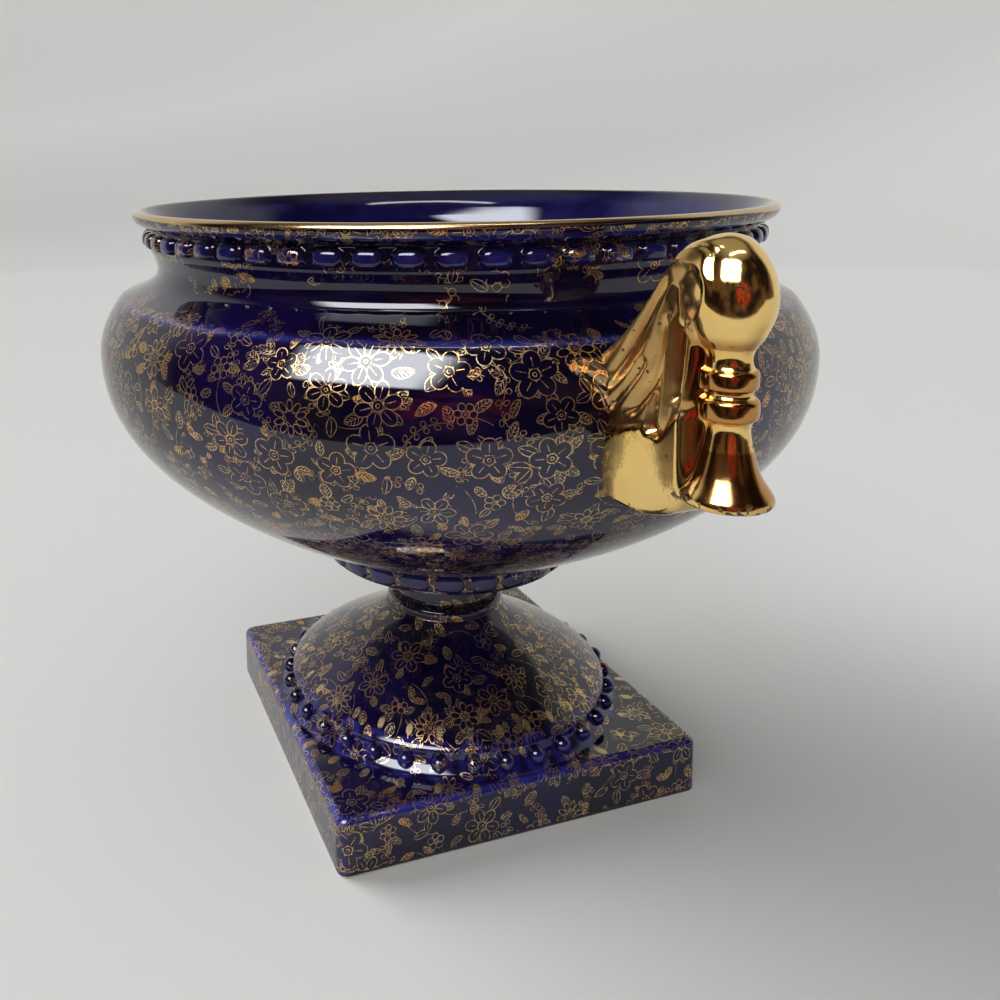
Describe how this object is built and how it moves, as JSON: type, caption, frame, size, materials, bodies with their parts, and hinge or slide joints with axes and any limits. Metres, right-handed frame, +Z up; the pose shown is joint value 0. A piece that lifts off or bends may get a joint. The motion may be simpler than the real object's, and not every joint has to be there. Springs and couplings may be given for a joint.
{
  "type": "mantel urn",
  "caption": "Small footed mantel urn: wide hollow bowl with beaded lip and sharp shoulder, on a beaded collar, domed foot and square plinth, with gilded scroll handles at its sides",
  "frame": {"origin": "middle of the plinth's underside, on the bowl's axis", "axes": "+Z up along the bowl's axis, +X through the right handle, +Y completes the right-handed set and points to the back; the plinth's sides are parallel to X and Y"},
  "size_m": [0.2368, 0.183, 0.15],
  "materials": {
    "cobalt_glaze": "gloss cobalt-blue glaze with a printed gold all-over flower pattern",
    "gilding": "bright burnished gold over glaze"
  },
  "bodies": {
    "root": {"bowl": "cobalt_glaze", "pedestal": "cobalt_glaze", "handle_right": "gilding", "handle_left": "gilding"}
  },
  "joints": []
}
